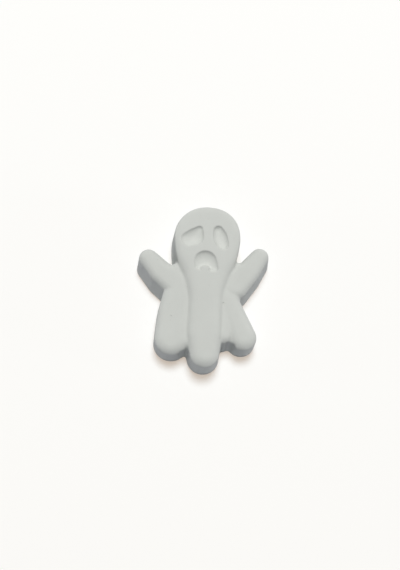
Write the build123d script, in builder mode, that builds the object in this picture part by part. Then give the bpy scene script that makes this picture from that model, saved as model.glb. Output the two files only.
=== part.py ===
"""A flat-backed ceramic ghost that lies face up: a hollow front shell, a back plate and rubber bumpers.

The back lies towards -Z and the face looks up along +Z, with the head towards +Y. The origin is on the
surface that the figure lies on, midway between the arm tips and between the head and the middle foot.
Outlines are given at the back rim, where the casting is widest.
"""

import os
from math import radians, tan
from typing import NamedTuple

from build123d import *

# Overall size, millimetres
figure_height = 81.0
figure_width = 65.4

# How far the front of each part of the casting stands out from the back rim
spine_depth = 15.7
limb_depth = 13.0

# How far each wall leans in from the rim to the front, and how far the front of an arm lies off to one side
spine_draft = 0.8
leg_draft = 0.8
arm_draft = 1.4
side_draft = 1.4
left_arm_shift = (0.0, 1.7)
right_arm_shift = (-0.2, 0.6)

# Crown of each front: how far it reaches in from the edge and falls to it, and the bevel that eases its edge
head_crown_reach = 2.8
column_crown_reach = 5.2
spine_crown_fall = 0.3
spine_crown_tilt = 1.8
spine_fall_tilt = 0.7
arm_crown_reach = 3.3
arm_crown_fall = 2.0
leg_crown_reach = 4.3
leg_crown_fall = 1.6
side_crown_reach = 3.4
side_crown_fall = 1.6
edge_bevel_reach = 0.3
edge_bevel_fall = 0.7
smallest_round = 0.4

# Head, column and middle leg, which are one raised ridge; the round of the head ends below its widest point
head_x = 1.1
head_radius = 16.75
head_round_below = 26.0
waist_x = 0.8
waist_below_head = 32.4
waist_half_width = 8.45
shin_x = 0.6
shin_above_foot = 9.1
shin_half_width = 8.75
middle_foot_x = 0.9
middle_foot_radius = 7.7

# Arms: a round shoulder, a bend, and a round hand that reaches the full width
left_shoulder_x = -11.8
left_shoulder_below_head = 25.2
left_shoulder_radius = 8.3
left_elbow_x = -20.2
left_elbow_below_head = 19.4
left_elbow_radius = 7.1
left_hand_below_head = 12.9
left_hand_radius = 5.9
right_shoulder_x = 14.4
right_shoulder_below_head = 23.2
right_shoulder_radius = 9.1
right_elbow_x = 22.0
right_elbow_below_head = 15.8
right_elbow_radius = 6.95
right_hand_below_head = 8.5
right_hand_radius = 5.75

# Outer legs: a round hip, and a round foot that ends above the middle one
left_hip_x = -12.0
left_hip_below_head = 25.0
left_hip_radius = 7.15
left_knee_x = -13.7
left_knee_above_foot = 12.1
left_knee_radius = 7.85
left_foot_x = -14.1
left_foot_rise = 6.5
left_foot_radius = 8.55
right_hip_x = 9.0
right_hip_below_head = 25.4
right_hip_radius = 5.95
right_foot_x = 18.6
right_foot_rise = 8.2
right_foot_radius = 6.85

# Clay that fills each side between the column and the outer leg, down to the notch between the feet
left_side_x = -8.2
left_side_below_head = 19.4
left_side_radius = 7.0
left_notch_x = -7.6
left_notch_rise = 7.5
left_notch_radius = 6.75
right_side_x = 11.5
right_side_below_head = 18.4
right_side_radius = 6.75
right_notch_x = 10.2
right_notch_rise = 9.5
right_notch_radius = 5.95

# Face, sunk into the front with floors that rise towards the feet
recess_depth = 1.0
recess_tilt = 5.7
recess_reach = 4.0
recess_floor_radius = 0.7
left_eye_below_head = 2.8
left_eye_blunt_end = (-8.7, 0.2, 3.0)
left_eye_lower_side = (-4.9, 0.9, 4.3)
left_eye_sharp_end = (-2.3, 5.6, 1.6)
right_eye_below_head = 1.0
right_eye_top = (6.4, 3.9, 2.3)
right_eye_middle = (7.1, 0.3, 3.7)
right_eye_bottom = (8.1, -3.8, 2.8)
mouth_below_head = 13.1
mouth_dome = (0.5, 0.0, 5.1)
mouth_left_corner = (-3.0, -3.0, 1.6)
mouth_right_corner = (4.8, -3.7, 1.75)
mouth_lip = (0.6, -6.4, 3.3)

# Hollow and back plate
rim_width = 2.0
plate_thickness = 3.5
plate_clearance = 0.25
wall = 4.5
roof_thickness = 4.2
hollow_corner_radius = 2.0
hanging_hole_radius = 3.0
hanging_hole_rise = 3.0

# Bumpers, each stuck into a shallow round recess
bumper_radius = 3.0
bumper_height = 1.5
bumper_recess = 0.7
bumper_clearance = 0.15
bumper_edge_radius = 0.4
head_bumper_rise = 10.3

# Shares of a crown's reach at which its outline is drawn, from its edge to its front
crown_shares = (0.0, 0.25, 0.6, 1.0)

# Levels and centres that follow from the sizes above
rim_z = bumper_height - bumper_recess
ledge_z = rim_z + plate_thickness
spine_top_z = rim_z + spine_depth
hollow_top_z = spine_top_z - roof_thickness
head_y = figure_height / 2 - head_radius
waist_y = head_y - waist_below_head
middle_foot_y = middle_foot_radius - figure_height / 2
shin_y = middle_foot_y + shin_above_foot
left_foot_y = middle_foot_y + left_foot_rise
right_foot_y = middle_foot_y + right_foot_rise


class Disc(NamedTuple):
    """One round of an outline."""

    x: float
    y: float
    radius: float


left_arm = [
    Disc(left_shoulder_x, head_y - left_shoulder_below_head, left_shoulder_radius),
    Disc(left_elbow_x, head_y - left_elbow_below_head, left_elbow_radius),
    Disc(left_hand_radius - figure_width / 2, head_y - left_hand_below_head, left_hand_radius),
]
right_arm = [
    Disc(right_shoulder_x, head_y - right_shoulder_below_head, right_shoulder_radius),
    Disc(right_elbow_x, head_y - right_elbow_below_head, right_elbow_radius),
    Disc(figure_width / 2 - right_hand_radius, head_y - right_hand_below_head, right_hand_radius),
]
left_leg = [
    Disc(left_hip_x, head_y - left_hip_below_head, left_hip_radius),
    Disc(left_knee_x, left_foot_y + left_knee_above_foot, left_knee_radius),
    Disc(left_foot_x, left_foot_y, left_foot_radius),
]
right_leg = [
    Disc(right_hip_x, head_y - right_hip_below_head, right_hip_radius),
    Disc(right_foot_x, right_foot_y, right_foot_radius),
]
left_side = [
    Disc(left_side_x, head_y - left_side_below_head, left_side_radius),
    Disc(left_notch_x, middle_foot_y + left_notch_rise, left_notch_radius),
]
right_side = [
    Disc(right_side_x, head_y - right_side_below_head, right_side_radius),
    Disc(right_notch_x, middle_foot_y + right_notch_rise, right_notch_radius),
]
limbs = {"left_arm": left_arm, "right_arm": right_arm, "left_leg": left_leg, "right_leg": right_leg}


def spine_outline(inset=0.0, column_inset=0.0):
    """Outline of the head, column and middle leg, drawn in all round and more so below the head."""
    waist = waist_half_width - inset - column_inset
    shin = shin_half_width - inset - column_inset
    toe_radius = middle_foot_radius - inset - column_inset
    with BuildSketch() as outline:
        with BuildLine():
            crown = CenterArc(
                (head_x, head_y),
                head_radius - inset,
                -head_round_below,
                180 + 2 * head_round_below,
            )
            toe = CenterArc((middle_foot_x, middle_foot_y), toe_radius, 180, 180)
            Spline(
                crown @ 1,
                (waist_x - waist, waist_y),
                (shin_x - shin, shin_y),
                toe @ 0,
                tangents=[crown % 1, (0, -1), (0, -1), toe % 0],
            )
            Spline(
                toe @ 1,
                (shin_x + shin, shin_y),
                (waist_x + waist, waist_y),
                crown @ 0,
                tangents=[toe % 1, (0, 1), (0, 1), crown % 0],
            )
        make_face()
    return outline.sketch


def limb_outline(discs, inset=0.0, shift=(0.0, 0.0)):
    """Outline of an arm, a leg or a side: its rounds and the straight lines that join them."""
    with BuildSketch() as outline:
        for disc in discs:
            with Locations((disc.x + shift[0], disc.y + shift[1])):
                Circle(max(disc.radius - inset, smallest_round))
        make_hull()
    return outline.sketch


def crowned_lobe(outlines, planes):
    """One lobe of the casting: a wall that leans in from the rim, a bevelled edge and a crowned front."""
    with BuildPart() as lobe:
        for outline, plane in zip(outlines, planes):
            with BuildSketch(plane):
                add(outline)
        loft(ruled=True)
    return lobe.part


def limb_lobe(discs, draft, reach, fall, shift=(0.0, 0.0)):
    """An arm, a leg or a side of the casting."""
    edge = draft + edge_bevel_reach
    outlines = [limb_outline(discs), limb_outline(discs, draft, shift)]
    planes = [Plane.XY.offset(rim_z), Plane.XY.offset(rim_z + limb_depth - fall - edge_bevel_fall)]
    for share in crown_shares:
        outlines.append(limb_outline(discs, edge + reach * share, shift))
        planes.append(Plane.XY.offset(rim_z + limb_depth - fall * (1 - share) ** 2))
    return crowned_lobe(outlines, planes)


def spine_lobe():
    """The raised ridge of the head, column and middle leg, whose front falls a little towards the foot."""
    edge = spine_draft + edge_bevel_reach
    outlines = [spine_outline(), spine_outline(spine_draft)]
    planes = [Plane.XY.offset(rim_z), spine_plane(spine_crown_fall + edge_bevel_fall, 0)]
    for share in crown_shares:
        inset = edge + head_crown_reach * share
        outlines.append(spine_outline(inset, (column_crown_reach - head_crown_reach) * share))
        planes.append(spine_plane(spine_crown_fall * (1 - share) ** 2, share))
    return crowned_lobe(outlines, planes)


def spine_plane(fall, share):
    """Plane of one outline of the ridge, tilted more at the edge of its crown than at its front."""
    tilt = spine_fall_tilt + spine_crown_tilt * (1 - share) ** 2
    middle_z = spine_top_z - fall - figure_height / 2 * tan(radians(tilt))
    return Plane((0, 0, middle_z)).rotated((tilt, 0, 0))


def face_recess(outline, y):
    """Hollow of one eye or of the mouth, with a tilted, rounded floor, reaching out through the front."""
    front_z = spine_top_z - (figure_height / 2 - y) * tan(radians(spine_fall_tilt))
    floor = Plane((0, y, front_z - recess_depth)).rotated((-recess_tilt, 0, 0))
    with BuildPart() as recess:
        with BuildSketch(floor):
            add(outline)
        extrude(amount=recess_reach)
        fillet(recess.faces().sort_by(Axis.Z)[0].edges(), recess_floor_radius)
    return recess.part


def eye_outline(*rounds):
    """Outline of an eye: its rounds and the straight lines that join them."""
    return limb_outline([Disc(*values) for values in rounds])


def mouth_outline():
    """A dome with two round corners, with the lower lip pushing up between them."""
    lip = Disc(*mouth_lip)
    with BuildSketch() as outline:
        add(eye_outline(mouth_dome, mouth_left_corner, mouth_right_corner))
        with Locations((lip.x, lip.y)):
            Circle(lip.radius, mode=Mode.SUBTRACT)
    return outline.sketch


def bumper(x, y, name):
    """A round bumper that stands out of its recess, with its lower edge rounded."""
    with BuildPart() as foot:
        with BuildSketch():
            with Locations((x, y)):
                Circle(bumper_radius)
        extrude(amount=bumper_height)
        fillet(foot.faces().sort_by(Axis.Z)[0].edges(), bumper_edge_radius)
    foot.part.label = name
    return foot.part


# Lobes and hollows of the front shell
lobes = [
    spine_lobe(),
    limb_lobe(left_arm, arm_draft, arm_crown_reach, arm_crown_fall, left_arm_shift),
    limb_lobe(right_arm, arm_draft, arm_crown_reach, arm_crown_fall, right_arm_shift),
    limb_lobe(left_leg, leg_draft, leg_crown_reach, leg_crown_fall),
    limb_lobe(right_leg, leg_draft, leg_crown_reach, leg_crown_fall),
    limb_lobe(left_side, side_draft, side_crown_reach, side_crown_fall),
    limb_lobe(right_side, side_draft, side_crown_reach, side_crown_fall),
]
recesses = [
    face_recess(
        eye_outline(left_eye_blunt_end, left_eye_lower_side, left_eye_sharp_end),
        head_y - left_eye_below_head,
    ),
    face_recess(eye_outline(right_eye_top, right_eye_middle, right_eye_bottom), head_y - right_eye_below_head),
    face_recess(mouth_outline(), head_y - mouth_below_head),
]

with BuildPart() as hollow:
    with BuildSketch(Plane.XY.offset(ledge_z)):
        add(spine_outline(wall))
    extrude(amount=hollow_top_z - ledge_z)
    corner = min(hollow_corner_radius, (waist_half_width - wall) / 2)
    fillet(hollow.faces().sort_by(Axis.Z)[-1].edges(), corner)

# Front shell: the lobes, less the rebate for the back plate, the hollow, the face and the recesses for bumpers
with BuildPart() as front_shell:
    add(lobes)
    with BuildSketch(Plane.XY.offset(rim_z)):
        add(spine_outline(rim_width))
    extrude(amount=plate_thickness, mode=Mode.SUBTRACT)
    add(hollow.part, mode=Mode.SUBTRACT)
    add(recesses, mode=Mode.SUBTRACT)
    with BuildSketch(Plane.XY.offset(rim_z)):
        with Locations(*[(limb[-1].x, limb[-1].y) for limb in limbs.values()]):
            Circle(bumper_radius + bumper_clearance)
    extrude(amount=bumper_recess, mode=Mode.SUBTRACT)
front_shell.part.label = "front_shell"

# Back plate: let into the rebate, with the hanging hole that also vents the hollow
head_bumper = (head_x, head_y + head_bumper_rise)
middle_bumper = (middle_foot_x, middle_foot_y)
with BuildPart() as back_plate:
    with BuildSketch(Plane.XY.offset(rim_z)):
        add(spine_outline(rim_width + plate_clearance))
        with Locations((head_x, head_y + hanging_hole_rise)):
            Circle(hanging_hole_radius, mode=Mode.SUBTRACT)
    extrude(amount=plate_thickness)
    with BuildSketch(Plane.XY.offset(rim_z)):
        with Locations(head_bumper, middle_bumper):
            Circle(bumper_radius + bumper_clearance)
    extrude(amount=bumper_recess, mode=Mode.SUBTRACT)
back_plate.part.label = "back_plate"

# Bumpers, one under each lobe's end
bumper_places = {"bumper_head": head_bumper, "bumper_middle_leg": middle_bumper}
for name, limb in limbs.items():
    bumper_places[f"bumper_{name}"] = (limb[-1].x, limb[-1].y)
bumpers = [bumper(x, y, name) for name, (x, y) in bumper_places.items()]

os.makedirs("parts", exist_ok=True)
for piece in [front_shell.part, back_plate.part, *bumpers]:
    export_step(piece, f"parts/{piece.label}.step")
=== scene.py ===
"""Looks of the flat-backed ceramic ghost: its cast front, back plate, bumpers, light and camera."""

import math

import bmesh
import bpy
from mathutils import Matrix, Vector


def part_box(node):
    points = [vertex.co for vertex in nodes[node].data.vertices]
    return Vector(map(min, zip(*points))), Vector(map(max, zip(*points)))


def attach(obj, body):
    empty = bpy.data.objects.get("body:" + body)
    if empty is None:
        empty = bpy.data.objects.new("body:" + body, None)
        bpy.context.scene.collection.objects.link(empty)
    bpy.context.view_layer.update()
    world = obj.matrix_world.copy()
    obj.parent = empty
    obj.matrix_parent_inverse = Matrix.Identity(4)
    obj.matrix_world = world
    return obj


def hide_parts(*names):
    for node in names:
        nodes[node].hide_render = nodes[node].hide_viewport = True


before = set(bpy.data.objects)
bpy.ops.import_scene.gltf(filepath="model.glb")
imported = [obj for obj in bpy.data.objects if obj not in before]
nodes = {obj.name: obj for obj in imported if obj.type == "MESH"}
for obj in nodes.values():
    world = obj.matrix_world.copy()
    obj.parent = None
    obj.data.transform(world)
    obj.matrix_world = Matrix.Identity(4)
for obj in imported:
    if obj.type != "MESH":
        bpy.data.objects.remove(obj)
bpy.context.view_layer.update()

# Units, fineness and softening of the meshes, and the limits for sharp edges and level faces
MM = 0.001
RING_POINTS = 64
SMALLEST_RING = 0.1
CLAY_GRAIN = 0.38 * MM
SPONGE_STRENGTH = 0.5
SHARP_EDGE = math.radians(50)
FACING_UP = 0.9
FACING_DOWN = -0.99

# Levels of the casting, millimetres above the surface that the figure lies on
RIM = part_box("front_shell")[0].z / MM
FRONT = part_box("front_shell")[1].z / MM
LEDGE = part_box("back_plate")[1].z / MM
CREST = FRONT - 0.02
LIMB_FRONT = FRONT - 2.65
SIDE_FRONT = LIMB_FRONT - 0.25
HOLLOW_FRONT = FRONT - 4.2
BELOW_RIM = RIM - 2.5

# Round ends of the lobes at their front edges: centre x, centre y and radius, millimetres
HEAD = (1.3, 23.7, 15.95)
TEMPLE = (3.1, 25.5, 13.95)
WAIST = (0.95, -8.7, 8.55)
SHIN = (0.5, -23.7, 8.65)
MIDDLE_FOOT = (0.9, -32.9, 6.75)
LEFT_ARM = ((-11.8, 0.2, 6.9), (-20.2, 6.0, 5.7), (-26.5, 12.7, 4.6))
RIGHT_ARM = ((14.2, 1.1, 7.5), (21.8, 8.5, 5.6), (27.0, 15.9, 4.45))
LEFT_LEG = ((-11.5, -1.3, 6.4), (-13.7, -14.2, 7.3), (-14.1, -26.2, 7.9))
RIGHT_LEG = ((9.0, -1.7, 5.2), (18.7, -24.5, 6.35))
LEFT_SIDE = ((-8.6, 5.4, 4.6), (-8.5, -13.7, 6.5), (-7.6, -25.3, 5.4))
RIGHT_SIDE = ((11.5, 5.3, 5.4), (12.0, -15.7, 5.6), (10.0, -23.3, 4.6))
LEFT_CROOK = ((-13.0, 7.9, 2.9), (-11.8, 0.2, 6.0))
RIGHT_CROOK = ((16.4, 9.6, 2.9), (14.2, 1.1, 6.0))

# Ridge: how its neck draws in, where and how steeply its front falls, and how soon its crown deepens
NECK_SLOPE = 0.05
FALL_START = HEAD[1] + 8
RIDGE_FALL = 0.0122
TOE_FALL = 0.3
CROWN_PACE = 2.4

# How each front rounds over: across and down its crown, then the radius of its edge
CROWN_POWER = 3
HEAD_ROUND = (4.5, 0.9, 1.2)
WAIST_ROUND = (6.4, 3.0, 0.9)
SHIN_ROUND = (5.6, 3.0, 0.9)
TOE_ROUND = (5.6, 2.2, 1.0)
ARM_ROUND = (4.2, 2.0, 1.8)
LEG_ROUND = (5.2, 2.0, 1.7)
SIDE_ROUND = (4.2, 1.8, 1.4)

# Walls: how much wider each is at the back rim, how far its rim leans aside, and how soon the neck leans
WALL_SPREAD = 0.75
LEG_SPREAD = 0.5
ARM_SPREAD = 1.4
SIDE_SPREAD = 1.4
LEFT_ARM_LEAN = (0.4, -2.0)
RIGHT_ARM_LEAN = (-0.2, -0.6)
HEAD_LEAN = (-0.3, 0.0)
NECK_LEAN = (-1.6, 0.0)
NECK_SHARE = 0.35

# Notches between the feet: centre and radius, and how much narrower each is at the back
LEFT_NOTCH = (-8.6, -34.3, 2.9)
RIGHT_NOTCH = (12.3, -30.2, 3.7)
NOTCH_NARROWING = (1.6, 2.6)

# Sunken face: a steep step at each rim, then a bowl, which lies deeper towards the crown of the head
FACE_STEP = 0.5
FACE_SLOPE = 1.8
BOWL_SLOPE = 0.75
FACE_RISE = 0.04
FACE_SPONGE = 4
BOWL_MIDDLE = 0.05
ABOVE_FACE = 2.0
LIP_DEPTH = 4.0
LEFT_EYE = ((-9.2, 22.1, 2.4), (-7.7, 21.0, 3.4), (-4.9, 22.8, 4.4), (-2.7, 26.9, 1.75))
RIGHT_EYE = ((6.4, 26.7, 2.5), (7.2, 23.6, 3.5), (8.2, 20.4, 3.2), (9.1, 18.8, 2.2))
MOUTH_DOME = (0.4, 10.5, 5.3)
MOUTH_CORNERS = ((-2.9, 8.1, 2.0), (4.7, 7.1, 2.0))
MOUTH_LIP = (0.3, 6.1, 2.0)

# Pinholes that bubbles left in the front: centre x, centre y and radius
PINHOLES = ((9.25, -9.2, 0.36), (-14.8, -16.4, 0.24))
ABOVE_FRONT = 5

# Back of the casting, and how far the shapes that cut it reach past its rim
WALL = 4.5
PAST_RIM = 1
PLATE_CLEARANCE = 0.25
BUMPER_CLEARANCE = 0.15
BUMPER_SEAT_DEPTH = 0.7
PLATE_TOP_BAND = 0.1

# Finishes: base colours, the share of a speck or oval that has its full strength, and the plate's weave
BISQUE_COLOUR = (0.585, 0.6, 0.574)
SLAB_COLOUR = (0.57, 0.575, 0.54)
RUBBER_COLOUR = (0.74, 0.76, 0.76)
SPECK_CORE = 0.4
OVAL_CORE = 0.94
WEAVE_SCALE = 300.0
WEAVE_WANDER = 1.2

# Painted light in the face's hollows, whose floors are lightened as if more light fell on them: middle and
# reach of each oval, and the level where it fades in
PAINTED_LIGHT_EYES = ((-0.2, 23.0), (12.6, 7.6))
PAINTED_LIGHT_MOUTH = ((0.9, 10.4), (7.2, 6.6))
PAINTED_LIGHT_LEVEL = FRONT - 0.42
PAINTED_LIGHT_FADE = 0.3

# Floor: half its width in metres, what it bounces, what it shows of its light, and its glow to the camera
FLOOR_REACH = 3.0
FLOOR_BOUNCE = (0.79, 0.8, 0.86, 1)
FLOOR_CATCH = (0.46, 0.535, 0.6, 1)
FLOOR_GLOW = (0.524, 0.443, 0.361, 1)

# Light
SKY_COLOUR = (0.9, 0.93, 1, 1)
SKY_STRENGTH = 0.14
KEY_COLOUR = (1.0, 0.995, 0.97)
FILL_COLOUR = (1.0, 0.99, 0.97)

# Camera at the photograph's viewing angle, lengths in millimetres
CAMERA_TURN = math.radians(-3.5)
CAMERA_TILT = math.radians(-20.0)
CAMERA_ROLL = math.radians(1.23)
CAMERA_DISTANCE = 291.3
CAMERA_AIM = Vector((-1.42, 1.49, 7.77))
CAMERA_LENS = 38.43
CAMERA_SENSOR = 36


def pillow_levels(front, rounding, spread=WALL_SPREAD, steps=9):
    """Insets and heights of an outline from below the rim, round its edge and over its crowned front."""
    across, drop, edge = rounding
    slope = math.atan2(CROWN_POWER * drop, across)
    shoulder = front - drop - edge * math.cos(slope)
    levels = [(-spread * (shoulder - BELOW_RIM) / (shoulder - RIM), BELOW_RIM)]
    for step in range(steps + 1):
        turn = (math.radians(90) - slope) * step / steps
        levels.append((edge * (1 - math.cos(turn)), shoulder + edge * math.sin(turn)))
    start = levels[-1][0]
    for step in range(1, steps + 1):
        t = step / steps
        levels.append((start + across * t, front - drop * (1 - t) ** CROWN_POWER))
    return levels


def hull_of_rings(bm, rings):
    """Adds the convex hull of level rings, each given by its centre, height and radius."""
    points = []
    for x, y, z, radius in rings:
        place = Matrix.Translation(Vector((x, y, z)) * MM)
        ring = bmesh.ops.create_circle(bm, segments=RING_POINTS, radius=radius * MM, matrix=place)
        points += ring["verts"]
    hull = bmesh.ops.convex_hull(bm, input=points)
    inside = {v for v in hull["geom_interior"] + hull["geom_unused"] if isinstance(v, bmesh.types.BMVert)}
    bmesh.ops.delete(bm, geom=list(inside), context="VERTS")


def rings_of(disc, levels, lean=(0.0, 0.0)):
    """Rings of one disc, drawn in and raised level by level; the lean moves the lowest to one side."""
    x, y, radius = disc
    rings = [(x, y, z, max(radius - inset, SMALLEST_RING)) for inset, z in levels]
    inset, z = levels[0]
    rings[0] = (x + lean[0], y + lean[1], z, radius - inset)
    return rings


def hull_of_discs(bm, discs, levels, lean=(0.0, 0.0)):
    """Adds the convex hull of round discs that share their levels."""
    hull_of_rings(bm, [ring for disc in discs for ring in rings_of(disc, levels, lean)])


def chain_of_discs(bm, discs, levels, lean=(0.0, 0.0)):
    """Adds a lobe that follows its discs one after another."""
    for pair in zip(discs, discs[1:]):
        hull_of_discs(bm, pair, levels, lean)


def between(start, end, t):
    """Values part of the way from a start to an end."""
    return [a + (b - a) * t for a, b in zip(start, end)]


def spine_discs(inset=0.0, steps=14):
    """Discs down the head, column and middle leg, narrowing smoothly to the waist."""
    fall = HEAD[1] - WAIST[1]
    discs = []
    for step in range(steps + 1):
        t = step / steps
        ease = t * t * (3 - 2 * t)
        radius = HEAD[2] + (WAIST[2] - HEAD[2]) * ease - NECK_SLOPE * fall * t * (1 - t) ** 2
        discs.append((HEAD[0] + (WAIST[0] - HEAD[0]) * t, HEAD[1] - fall * t, radius - inset))
    for x, y, radius in (SHIN, MIDDLE_FOOT):
        discs.append((x, y, radius - inset))
    return discs


def ridge_front(y):
    """Height of the ridge's front, which falls a little from the head to the toe."""
    return CREST - RIDGE_FALL * max(0.0, FALL_START - y)


def spine_lobe(bm):
    """Adds the raised ridge, nearly flat on the head, crowned down the column and falling to the toe."""
    discs = spine_discs()
    last = len(discs) - 3
    ridge = []
    for step, disc in enumerate(discs[:-2]):
        t = step / last
        rounding = between(HEAD_ROUND, WAIST_ROUND, min(1.0, CROWN_PACE * t))
        lean = between(HEAD_LEAN, NECK_LEAN, min(1.0, t / NECK_SHARE))
        ridge.append(rings_of(disc, pillow_levels(ridge_front(disc[1]), rounding), lean))
    ridge[0] += rings_of(TEMPLE, pillow_levels(CREST, HEAD_ROUND), HEAD_LEAN)
    shin, toe = discs[-2:]
    ridge.append(rings_of(shin, pillow_levels(ridge_front(shin[1]), SHIN_ROUND)))
    ridge.append(rings_of(toe, pillow_levels(ridge_front(toe[1]) - TOE_FALL, TOE_ROUND)))
    for upper, lower in zip(ridge, ridge[1:]):
        hull_of_rings(bm, upper + lower)


def new_piece(name, bm):
    """Links a new mesh piece made from a bmesh."""
    mesh = bpy.data.meshes.new(name)
    bm.to_mesh(mesh)
    bm.free()
    piece = bpy.data.objects.new(name, mesh)
    bpy.context.scene.collection.objects.link(piece)
    return piece


def settle(piece):
    """Bakes a piece's modifiers into its mesh."""
    bpy.context.view_layer.update()
    baked = bpy.data.meshes.new_from_object(piece.evaluated_get(bpy.context.evaluated_depsgraph_get()))
    baked.name = piece.name
    piece.modifiers.clear()
    piece.data = baked


def merge_clay(piece):
    """Merges overlapping lobes into one even skin."""
    remesh = piece.modifiers.new("merge", "REMESH")
    remesh.mode = "VOXEL"
    remesh.voxel_size = CLAY_GRAIN
    settle(piece)


def sponge(piece, passes):
    """Softens a piece's edges and valleys, as a damp sponge does."""
    soften = piece.modifiers.new("sponge", "SMOOTH")
    soften.factor = SPONGE_STRENGTH
    soften.iterations = passes
    settle(piece)


def carve(piece, cutter):
    """Cuts a closed shape out of a piece and removes the shape."""
    cut = piece.modifiers.new("carve", "BOOLEAN")
    cut.operation = "DIFFERENCE"
    cut.solver = "MANIFOLD"
    cut.object = cutter
    settle(piece)
    bpy.data.objects.remove(cutter)


def trim_back(piece):
    """Cuts the piece flat at the back rim and closes it."""
    bm = bmesh.new()
    bm.from_mesh(piece.data)
    everything = bm.verts[:] + bm.edges[:] + bm.faces[:]
    trim = bmesh.ops.bisect_plane(
        bm, geom=everything, plane_co=(0, 0, RIM * MM), plane_no=(0, 0, 1), clear_inner=True
    )
    edges = [e for e in trim["geom_cut"] if isinstance(e, bmesh.types.BMEdge)]
    bmesh.ops.holes_fill(bm, edges=edges, sides=0)
    bmesh.ops.recalc_face_normals(bm, faces=bm.faces[:])
    bm.to_mesh(piece.data)
    bm.free()


def clay_body():
    """The lobes pressed together and sponged soft, with the notches between the feet."""
    lobes = bmesh.new()
    spine_lobe(lobes)
    for arm, lean in ((LEFT_ARM, LEFT_ARM_LEAN), (RIGHT_ARM, RIGHT_ARM_LEAN)):
        chain_of_discs(lobes, arm, pillow_levels(LIMB_FRONT, ARM_ROUND, ARM_SPREAD), lean)
    for leg in (LEFT_LEG, RIGHT_LEG):
        chain_of_discs(lobes, leg, pillow_levels(LIMB_FRONT, LEG_ROUND, LEG_SPREAD))
    for side in (LEFT_SIDE, RIGHT_SIDE, LEFT_CROOK, RIGHT_CROOK):
        chain_of_discs(lobes, side, pillow_levels(SIDE_FRONT, SIDE_ROUND, SIDE_SPREAD))
    body = new_piece("ghost_front", lobes)
    merge_clay(body)
    hollows = bmesh.new()
    for notch, narrowing in zip((LEFT_NOTCH, RIGHT_NOTCH), NOTCH_NARROWING):
        hull_of_discs(hollows, [notch], [(narrowing, BELOW_RIM - PAST_RIM), (0.0, FRONT)])
    carve(body, new_piece("notches", hollows))
    merge_clay(body)
    sponge(body, 1)
    return body


def bowl_rings(disc, low, steps=6):
    """Rings of one disc of the face: a steep step below its rim, then a bowl down to its middle."""
    x, y, radius = disc
    level = ridge_front(y)
    step = FACE_STEP + FACE_RISE * (y - low)
    inner = radius - step / FACE_SLOPE
    rings = [(x, y, level + ABOVE_FACE, radius + ABOVE_FACE / FACE_SLOPE)]
    for count in range(steps + 1):
        t = count / steps
        sunk = step + BOWL_SLOPE * inner * (t - t * t / 2)
        rings.append((x, y, level - sunk, max(inner * (1 - t), BOWL_MIDDLE)))
    return rings


def lip_rings(disc):
    """Rings of a raised part of the face, which widens with depth."""
    x, y, radius = disc
    level = ridge_front(y)
    top = (x, y, level + ABOVE_FACE, radius - ABOVE_FACE / FACE_SLOPE)
    bottom = (x, y, level - LIP_DEPTH, radius + LIP_DEPTH / FACE_SLOPE)
    return [top, bottom]


def face_hollow(name, lobes, lips=()):
    """Shape of one hollow of the face, made of overlapping bowls, less its raised lips."""
    shape = bmesh.new()
    low = min(y - radius for discs in lobes for x, y, radius in discs)
    for discs in lobes:
        hull_of_rings(shape, [ring for disc in discs for ring in bowl_rings(disc, low)])
    hollow = new_piece(name, shape)
    merge_clay(hollow)
    for lip in lips:
        raised = bmesh.new()
        hull_of_rings(raised, lip_rings(lip))
        carve(hollow, new_piece("lip", raised))
    merge_clay(hollow)
    sponge(hollow, FACE_SPONGE)
    return hollow


def pinholes(casting):
    """Small round dents where bubbles broke through the front."""
    dents = bmesh.new()
    for x, y, radius in PINHOLES:
        above = Vector((x, y, FRONT + ABOVE_FRONT)) * MM
        found, spot, normal, face = casting.ray_cast(above, Vector((0, 0, -1)))
        place = Matrix.Translation(spot)
        bmesh.ops.create_icosphere(dents, subdivisions=2, radius=radius * MM, matrix=place)
    return new_piece("pinholes", dents)


def plate_seat():
    """Shape of the rebate for the back plate: the plate's own outline with a little clearance."""
    seat = bmesh.new()
    seat.from_mesh(nodes["back_plate"].data)
    seat.transform(nodes["back_plate"].matrix_world)
    lowest = (LEDGE - PLATE_TOP_BAND) * MM
    others = [f for f in seat.faces if f.normal.z < FACING_UP or f.calc_center_median().z < lowest]
    bmesh.ops.delete(seat, geom=others, context="FACES")
    bmesh.ops.inset_region(
        seat, faces=seat.faces[:], thickness=PLATE_CLEARANCE * MM, use_outset=True, use_boundary=True
    )
    block = bmesh.ops.extrude_face_region(seat, geom=seat.faces[:])
    lower = [v for v in block["geom"] if isinstance(v, bmesh.types.BMVert)]
    bmesh.ops.translate(seat, vec=(0, 0, (RIM - PAST_RIM - LEDGE) * MM), verts=lower)
    bmesh.ops.recalc_face_normals(seat, faces=seat.faces[:])
    return new_piece("plate_seat", seat)


def back_hollows():
    """Shapes of the hollow behind the ridge and of the seats for the bumpers on the limbs."""
    shapes = bmesh.new()
    start = (0.0, RIM - PAST_RIM)
    chain_of_discs(shapes, spine_discs(WALL - WALL_SPREAD), [start, (0.0, HOLLOW_FRONT)])
    for name in ("left_arm", "right_arm", "left_leg", "right_leg"):
        low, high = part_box(f"bumper_{name}")
        middle = (low + high) / 2 / MM
        radius = (high.x - low.x) / 2 / MM + BUMPER_CLEARANCE
        seat = (middle.x, middle.y, radius)
        hull_of_discs(shapes, [seat], [start, (0.0, RIM + BUMPER_SEAT_DEPTH)])
    hollows = new_piece("back_hollows", shapes)
    merge_clay(hollows)
    return hollows


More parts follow.
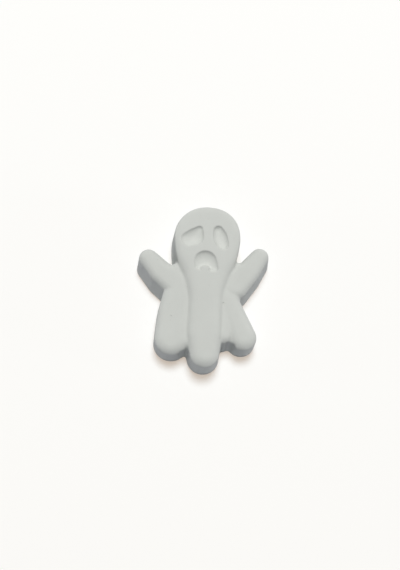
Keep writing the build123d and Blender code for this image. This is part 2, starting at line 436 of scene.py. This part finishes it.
def ghost_front():
    """The cast front: the clay body with the sunken face, the pinholes, and the hollows in its back."""
    casting = clay_body()
    carve(casting, face_hollow("left_eye", [LEFT_EYE]))
    carve(casting, face_hollow("right_eye", [RIGHT_EYE]))
    carve(casting, face_hollow("mouth", [(MOUTH_DOME, corner) for corner in MOUTH_CORNERS], [MOUTH_LIP]))
    merge_clay(casting)
    sponge(casting, 1)
    trim_back(casting)
    carve(casting, pinholes(casting))
    carve(casting, plate_seat())
    carve(casting, back_hollows())
    casting.data.shade_smooth()
    casting.data.set_sharp_from_angle(angle=SHARP_EDGE)
    for face in casting.data.polygons:
        if face.normal.z < FACING_DOWN:
            face.use_smooth = False
    return casting


class Shading:
    """A new material's node tree, with short ways to add textures and sums to it."""

    def __init__(self, name):
        self.material = bpy.data.materials.new(name)
        self.material.use_nodes = True
        self.tree = self.material.node_tree
        self.shader = self.tree.nodes["Principled BSDF"]
        self.place = self.tree.nodes.new("ShaderNodeTexCoord").outputs["Object"]

    def feed(self, socket, value):
        """Links an output to a socket, or sets the socket's own value."""
        if isinstance(value, bpy.types.NodeSocket):
            self.tree.links.new(value, socket)
        else:
            socket.default_value = value

    def noise(self, size, detail=2.0):
        """Noise with features of about the given size in millimetres."""
        node = self.tree.nodes.new("ShaderNodeTexNoise")
        node.inputs["Scale"].default_value = 1 / (size * MM)
        node.inputs["Detail"].default_value = detail
        self.feed(node.inputs["Vector"], self.place)
        return node.outputs["Fac"]

    def specks(self, spacing, radius):
        """Round specks that lie about a spacing apart: 1 in their middle and 0 outside their radius."""
        node = self.tree.nodes.new("ShaderNodeTexVoronoi")
        node.inputs["Scale"].default_value = 1 / (spacing * MM)
        self.feed(node.inputs["Vector"], self.place)
        return self.fade(node.outputs["Distance"], radius / spacing, SPECK_CORE * radius / spacing)

    def threads(self, direction):
        """Marks of slightly wavy threads, about a millimetre apart along one direction."""
        node = self.tree.nodes.new("ShaderNodeTexWave")
        node.bands_direction = direction
        node.inputs["Scale"].default_value = WEAVE_SCALE
        node.inputs["Distortion"].default_value = WEAVE_WANDER
        self.feed(node.inputs["Vector"], self.place)
        return node.outputs["Fac"]

    def sums(self, operation, first, second):
        """Outcome of one sum on outputs or plain numbers."""
        node = self.tree.nodes.new("ShaderNodeMath")
        node.operation = operation
        self.feed(node.inputs[0], first)
        self.feed(node.inputs[1], second)
        return node.outputs[0]

    def fade(self, value, start, end):
        """A smooth step that is 0 at the start and 1 at the end."""
        node = self.tree.nodes.new("ShaderNodeMapRange")
        node.interpolation_type = "SMOOTHSTEP"
        self.feed(node.inputs["Value"], value)
        node.inputs["From Min"].default_value = start
        node.inputs["From Max"].default_value = end
        return node.outputs["Result"]

    def blend(self, *parts):
        """One plus the sum of outputs, each taken about its middle and weighted."""
        total = 1.0
        for output, weight, middle in parts:
            swing = self.sums("MULTIPLY", self.sums("SUBTRACT", output, middle), weight)
            total = self.sums("ADD", swing, total)
        return total

    def colour(self, base, tone):
        """Gives the shader a base colour that is scaled by a tone."""
        node = self.tree.nodes.new("ShaderNodeVectorMath")
        node.operation = "SCALE"
        node.inputs[0].default_value = base
        self.feed(node.inputs["Scale"], tone)
        self.feed(self.shader.inputs["Base Color"], node.outputs["Vector"])

    def relief(self, height, depth):
        """Gives the shader a bump whose full height is a depth in millimetres."""
        node = self.tree.nodes.new("ShaderNodeBump")
        node.inputs["Distance"].default_value = depth * MM
        self.feed(node.inputs["Height"], height)
        self.feed(self.shader.inputs["Normal"], node.outputs["Normal"])

    def roughness(self, output, least, most):
        """Gives the shader a roughness that follows an output from its least to its most."""
        swing = self.sums("MULTIPLY", output, most - least)
        self.feed(self.shader.inputs["Roughness"], self.sums("ADD", swing, least))

    def oval(self, middle, reach):
        """1 inside an upright oval column and 0 outside it, with a short fade."""
        away = self.tree.nodes.new("ShaderNodeVectorMath")
        away.operation = "SUBTRACT"
        self.feed(away.inputs[0], self.place)
        away.inputs[1].default_value = (middle[0] * MM, middle[1] * MM, 0)
        share = self.tree.nodes.new("ShaderNodeVectorMath")
        share.operation = "MULTIPLY"
        self.feed(share.inputs[0], away.outputs["Vector"])
        share.inputs[1].default_value = (1 / (reach[0] * MM), 1 / (reach[1] * MM), 0)
        far = self.tree.nodes.new("ShaderNodeVectorMath")
        far.operation = "LENGTH"
        self.feed(far.inputs[0], share.outputs["Vector"])
        return self.fade(far.outputs["Value"], 1.0, OVAL_CORE)

    def below(self, level, fading):
        """1 well below a level and 0 above it."""
        split = self.tree.nodes.new("ShaderNodeSeparateXYZ")
        self.feed(split.inputs["Vector"], self.place)
        return self.fade(split.outputs["Z"], level * MM, (level - fading) * MM)


def bisque(name):
    """Unglazed pale grey clay: faint clouds, fine grain, pores darkened with painted shade, and painted
    light that lightens the floors of the face's hollows.
    """
    clay = Shading(name)
    clouds = clay.noise(size=14.0)
    mottle = clay.noise(size=3.0)
    grain = clay.noise(size=0.5)
    # Pores: small pits, darkened in colour as painted shade inside them and sunk a little by the bump.
    pores = clay.specks(spacing=4.0, radius=0.3)
    # Painted light: the floors of the face's hollows are made lighter in colour, as if lit more.
    painted_light_ovals = clay.sums("MAXIMUM", clay.oval(*PAINTED_LIGHT_EYES), clay.oval(*PAINTED_LIGHT_MOUTH))
    hollows = clay.sums("MULTIPLY", painted_light_ovals, clay.below(PAINTED_LIGHT_LEVEL, PAINTED_LIGHT_FADE))
    tone = clay.blend(
        (clouds, 0.06, 0.5),
        (mottle, 0.04, 0.5),
        (grain, 0.05, 0.5),
        (pores, -0.1, 0.0),
        (hollows, 0.05, 0.0),
    )
    clay.colour(BISQUE_COLOUR, tone)
    skin = clay.blend((grain, 0.5, 0.5), (mottle, 0.8, 0.5), (pores, -0.8, 0.0))
    clay.relief(skin, depth=0.05)
    clay.roughness(mottle, least=0.856, most=0.976)
    return clay.material


def slab(name):
    """Clay slab of the back plate: a coarser grain and the weave of the cloth that it was rolled on."""
    clay = Shading(name)
    clouds = clay.noise(size=18.0)
    grain = clay.noise(size=0.9, detail=3.0)
    # Pores: small pits, darkened in colour as painted shade inside them and sunk a little by the bump.
    pores = clay.specks(spacing=3.2, radius=0.45)
    cloth = clay.sums("MAXIMUM", clay.threads("X"), clay.threads("Y"))
    tone = clay.blend((clouds, 0.09, 0.5), (grain, 0.08, 0.5), (pores, -0.2, 0.0), (cloth, 0.03, 0.5))
    clay.colour(SLAB_COLOUR, tone)
    skin = clay.blend((grain, 0.6, 0.5), (cloth, 0.8, 0.5), (pores, -0.8, 0.0))
    clay.relief(skin, depth=0.08)
    clay.roughness(grain, least=0.89, most=0.99)
    return clay.material


def rubber(name):
    """Soft pale bumper rubber: satin, with a little dust on it."""
    soft = Shading(name)
    dust = soft.noise(size=0.8, detail=4.0)
    ripple = soft.noise(size=0.25)
    soft.colour(RUBBER_COLOUR, soft.blend((dust, 0.1, 0.5)))
    soft.relief(ripple, depth=0.01)
    soft.roughness(dust, least=0.31, most=0.61)
    return soft.material


def studio_floor(name):
    """Pale floor that keeps a soft shadow and shows near white to the camera and in reflections."""
    material = bpy.data.materials.new(name)
    material.use_nodes = True
    tree = material.node_tree
    tree.nodes.remove(tree.nodes["Principled BSDF"])
    lit = tree.nodes.new("ShaderNodeBsdfDiffuse")
    lit.inputs["Color"].default_value = FLOOR_BOUNCE
    catch = tree.nodes.new("ShaderNodeBsdfDiffuse")
    catch.inputs["Color"].default_value = FLOOR_CATCH
    glow = tree.nodes.new("ShaderNodeEmission")
    glow.inputs["Color"].default_value = FLOOR_GLOW
    glow.inputs["Strength"].default_value = 1.0
    seen = tree.nodes.new("ShaderNodeAddShader")
    path = tree.nodes.new("ShaderNodeLightPath")
    looks = tree.nodes.new("ShaderNodeMath")
    looks.operation = "MAXIMUM"
    either = tree.nodes.new("ShaderNodeMath")
    either.operation = "MAXIMUM"
    choose = tree.nodes.new("ShaderNodeMixShader")
    links = tree.links
    links.new(path.outputs["Is Camera Ray"], looks.inputs[0])
    links.new(path.outputs["Is Glossy Ray"], looks.inputs[1])
    links.new(looks.outputs[0], either.inputs[0])
    links.new(path.outputs["Is Transmission Ray"], either.inputs[1])
    links.new(catch.outputs[0], seen.inputs[0])
    links.new(glow.outputs[0], seen.inputs[1])
    links.new(either.outputs[0], choose.inputs[0])
    links.new(lit.outputs[0], choose.inputs[1])
    links.new(seen.outputs[0], choose.inputs[2])
    links.new(choose.outputs[0], tree.nodes["Material Output"].inputs["Surface"])
    return material


def soft_light(name, place, width, power, colour):
    """A round soft light that faces the figure: its place and width in metres, and its power in watts."""
    data = bpy.data.lights.new(name, "AREA")
    data.shape = "DISK"
    data.size = width
    data.energy = power
    data.color = colour
    light = bpy.data.objects.new(name, data)
    light.location = place
    light.rotation_euler = Vector(place).to_track_quat("Z", "Y").to_euler()
    bpy.context.scene.collection.objects.link(light)


# Casting, in place of the plain front shell
ghost = ghost_front()
ghost.data.materials.clear()
ghost.data.materials.append(bisque("bisque"))
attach(ghost, "root")
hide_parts("front_shell")

# Finishes of the back plate and the bumpers
plate_clay = slab("plate_bisque")
bumper_rubber = rubber("bumper_rubber")
for name, node in nodes.items():
    node.data.materials.clear()
    node.data.materials.append(bumper_rubber if name.startswith("bumper") else plate_clay)

# Floor
sheet = bmesh.new()
bmesh.ops.create_grid(sheet, x_segments=1, y_segments=1, size=FLOOR_REACH)
floor = new_piece("floor", sheet)
floor.data.materials.append(studio_floor("floor_paint"))

# Light
world = bpy.data.worlds.new("studio")
world.use_nodes = True
sky = world.node_tree.nodes["Background"]
sky.inputs["Color"].default_value = SKY_COLOUR
sky.inputs["Strength"].default_value = SKY_STRENGTH
bpy.context.scene.world = world
soft_light("key", place=(0.03, 0.95, 2.85), width=1.2, power=82.0, colour=KEY_COLOUR)
soft_light("left_fill", place=(-1.3, -0.1, 0.15), width=0.3, power=1.2, colour=FILL_COLOUR)
soft_light("right_fill", place=(1.3, -0.2, 0.15), width=0.3, power=2.1, colour=FILL_COLOUR)

# Camera
back = Vector((math.sin(CAMERA_TURN), math.sin(CAMERA_TILT), 0))
back.z = math.sqrt(1 - back.x**2 - back.y**2)
level = Vector((0, 1, 0)).cross(back).normalized()
rise = back.cross(level)
right = level * math.cos(CAMERA_ROLL) + rise * math.sin(CAMERA_ROLL)
up = rise * math.cos(CAMERA_ROLL) - level * math.sin(CAMERA_ROLL)
camera_data = bpy.data.cameras.new("camera")
camera_data.sensor_fit = "VERTICAL"
camera_data.sensor_height = CAMERA_SENSOR
camera_data.lens = CAMERA_LENS
camera = bpy.data.objects.new("camera", camera_data)
spot = (CAMERA_AIM + back * CAMERA_DISTANCE) * MM
camera.matrix_world = Matrix(
    (
        (right.x, up.x, back.x, spot.x),
        (right.y, up.y, back.y, spot.y),
        (right.z, up.z, back.z, spot.z),
        (0, 0, 0, 1),
    )
)
bpy.context.scene.collection.objects.link(camera)
bpy.context.scene.camera = camera
bpy.context.scene.view_settings.view_transform = "Standard"
